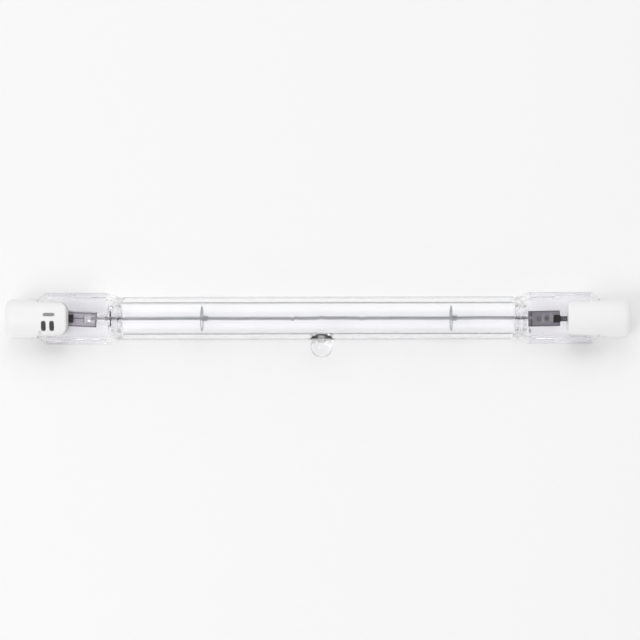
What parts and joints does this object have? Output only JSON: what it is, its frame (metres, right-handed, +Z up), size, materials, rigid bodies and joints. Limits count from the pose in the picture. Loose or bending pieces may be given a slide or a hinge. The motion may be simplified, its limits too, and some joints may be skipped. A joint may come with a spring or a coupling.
{
  "type": "linear halogen bulb",
  "caption": "Double-ended linear halogen bulb: clear quartz tube with pressed flat seals, supported coil filament, side exhaust tip and white ceramic caps with recessed contacts.",
  "frame": {"origin": "on the bulb's axis, midway between its two contact faces", "axes": "+X along the bulb towards its right cap, +Z up from the table it lies on, -Y the side that its exhaust tip leans to"},
  "size_m": [0.1176, 0.0116, 0.008],
  "materials": {
    "fused_silica": "clear, polished",
    "tungsten_coil": "fine drawn wire",
    "tungsten_wire": "fine drawn wire",
    "tungsten_lead": "drawn wire",
    "molybdenum_foil": "rolled foil",
    "molybdenum_wire": "drawn wire",
    "nickel_contact": "satin",
    "white_ceramic": "matte",
    "cap_cement": "rough"
  },
  "bodies": {
    "root": {"quartz_envelope": "fused_silica", "filament": "tungsten_coil", "support_left": "tungsten_wire", "support_right": "tungsten_wire", "inner_lead_left": "tungsten_lead", "inner_lead_right": "tungsten_lead", "foil_left": "molybdenum_foil", "foil_right": "molybdenum_foil", "outer_lead_left": "molybdenum_wire", "outer_lead_right": "molybdenum_wire", "contact_left": "nickel_contact", "contact_right": "nickel_contact", "cap_left": "white_ceramic", "cap_right": "white_ceramic", "cement_left": "cap_cement", "cement_right": "cap_cement"}
  },
  "joints": []
}
